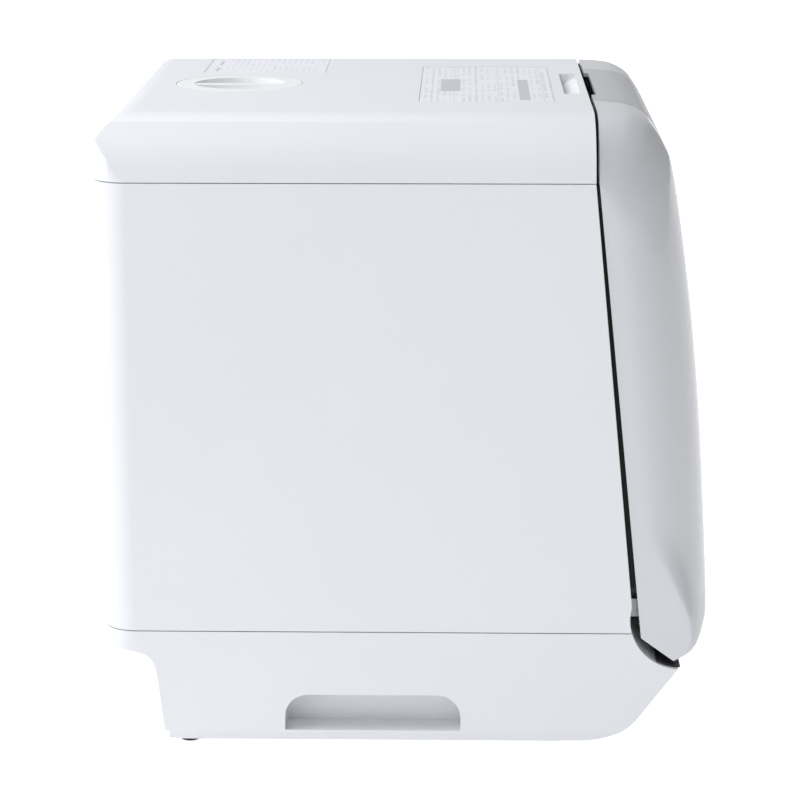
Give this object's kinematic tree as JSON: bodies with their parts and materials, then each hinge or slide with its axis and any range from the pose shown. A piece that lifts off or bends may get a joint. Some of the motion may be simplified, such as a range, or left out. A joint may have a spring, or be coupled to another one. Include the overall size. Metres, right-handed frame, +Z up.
{
  "type": "countertop dishwasher",
  "caption": "Tank-fed countertop dishwasher: rounded white casing, bottom-hinged glossy door with smoked window, lift-off filler lid, rack, spray arms and pumps.",
  "frame": {"origin": "centre of the bounding footprint, on the plane the rubber feet stand on", "axes": "+Z up, -Y towards the door, +X to the right of a person facing the door"},
  "size_m": [0.42, 0.445, 0.47],
  "materials": {
    "casing_white": "satin moulded white",
    "door_white": "high-gloss white",
    "silver_trim": "silver-painted plastic, fine satin",
    "smoked_window": "smoked, glossy",
    "fascia_dark": "glossy charcoal",
    "button_white": "satin gloss",
    "stainless": "brushed",
    "coated_wire": "nylon-coated grey wire",
    "tub_grey": "moulded light grey",
    "moulded_white": "moulded white",
    "dark_plastic": "fine-textured black",
    "seal_rubber": "soft black",
    "circuit_board": "solder-mask green",
    "label_paper": "coated label stock"
  },
  "bodies": {
    "cabinet": {"base_housing": "casing_white", "bottom_pan": "casing_white", "left_side_panel": "casing_white", "right_side_panel": "casing_white", "rear_cover": "casing_white", "top_cover": "casing_white", "filter_plate": "stainless", "cover_screw_1": "stainless", "cover_screw_2": "stainless", "left_hinge_arm": "stainless", "right_hinge_arm": "stainless", "heater": "stainless", "dish_rack": "coated_wire", "tub": "tub_grey", "spray_feed_pipe": "tub_grey", "water_tank": "tub_grey", "tank_cover": "tub_grey", "fan_duct": "tub_grey", "cutlery_basket": "tub_grey", "float_switch": "moulded_white", "inlet_spigot": "moulded_white", "sump": "dark_plastic", "wash_pump": "dark_plastic", "drain_pump": "dark_plastic", "drying_fan": "dark_plastic", "drain_spigot": "dark_plastic", "toe_strip": "dark_plastic", "door_gasket": "seal_rubber", "rubber_foot_1": "seal_rubber", "rubber_foot_2": "seal_rubber", "rubber_foot_3": "seal_rubber", "rubber_foot_4": "seal_rubber", "cord_gland": "seal_rubber", "power_board": "circuit_board", "rear_label": "label_paper", "front_label": "label_paper"},
    "door": {"door_shell": "door_white", "door_centre_panel": "silver_trim", "door_window": "smoked_window", "control_fascia": "fascia_dark", "door_liner": "stainless", "inner_glass": "smoked_window", "detergent_cup": "moulded_white", "door_board": "circuit_board", "latch_hook": "moulded_white", "left_hinge_pin": "stainless", "right_hinge_pin": "stainless"},
    "lid": {"filler_lid": "casing_white"},
    "latch": {"latch_catch": "moulded_white"},
    "lower_arm": {"lower_spray_arm": "tub_grey"},
    "upper_arm": {"upper_spray_arm": "tub_grey"},
    "filter": {"filter_cylinder": "tub_grey"},
    "wash_rotor": {"wash_pump_impeller": "tub_grey"},
    "drain_rotor": {"drain_pump_impeller": "tub_grey"},
    "fan_rotor": {"drying_fan_impeller": "tub_grey"},
    "button_1": {"push_button_1": "button_white"},
    "button_2": {"push_button_2": "button_white"},
    "button_3": {"push_button_3": "button_white"},
    "button_4": {"push_button_4": "button_white"}
  },
  "joints": [
    {"name": "door_hinge", "type": "hinge", "parent": "cabinet", "child": "door", "pos_m": [0, -0.201, 0.106], "axis": [1, 0, 0], "range_deg": [0, 90]},
    {"name": "lid_lift", "type": "slide", "parent": "cabinet", "child": "lid", "axis": [0, 0, 1], "range_m": [0, 0.06]},
    {"name": "latch_pivot", "type": "hinge", "parent": "cabinet", "child": "latch", "pos_m": [0, -0.0975, 0.426], "axis": [1, 0, 0], "range_deg": [0, 14], "stiffness_Nm_per_rad": 0.05, "springref_deg": -5.73},
    {"name": "lower_arm_spin", "type": "hinge", "parent": "cabinet", "child": "lower_arm", "pos_m": [0, -0.006, 0.142], "axis": [0, 0, 1], "continuous": true},
    {"name": "upper_arm_spin", "type": "hinge", "parent": "cabinet", "child": "upper_arm", "pos_m": [0, -0.006, 0.358], "axis": [0, 0, 1], "continuous": true},
    {"name": "filter_twist", "type": "hinge", "parent": "cabinet", "child": "filter", "pos_m": [0, -0.092, 0.11], "axis": [0, 0, 1], "range_deg": [0, 60]},
    {"name": "wash_rotor_spin", "type": "hinge", "parent": "cabinet", "child": "wash_rotor", "pos_m": [0.085, 0.03, 0.046], "axis": [1, 0, 0], "continuous": true},
    {"name": "drain_rotor_spin", "type": "hinge", "parent": "cabinet", "child": "drain_rotor", "pos_m": [0.085, -0.062, 0.042], "axis": [1, 0, 0], "continuous": true},
    {"name": "fan_rotor_spin", "type": "hinge", "parent": "cabinet", "child": "fan_rotor", "pos_m": [-0.157, 0.08, 0.062], "axis": [1, 0, 0], "continuous": true},
    {"name": "button_1_press", "type": "slide", "parent": "door", "child": "button_1", "axis": [0, 1, 0], "range_m": [0, 0.0015], "stiffness_N_per_m": 200, "springref_m": -0.001},
    {"name": "button_2_press", "type": "slide", "parent": "door", "child": "button_2", "axis": [0, 1, 0], "range_m": [0, 0.0015], "stiffness_N_per_m": 200, "springref_m": -0.001},
    {"name": "button_3_press", "type": "slide", "parent": "door", "child": "button_3", "axis": [0, 1, 0], "range_m": [0, 0.0015], "stiffness_N_per_m": 200, "springref_m": -0.001},
    {"name": "button_4_press", "type": "slide", "parent": "door", "child": "button_4", "axis": [0, 1, 0], "range_m": [0, 0.0015], "stiffness_N_per_m": 200, "springref_m": -0.001}
  ]
}
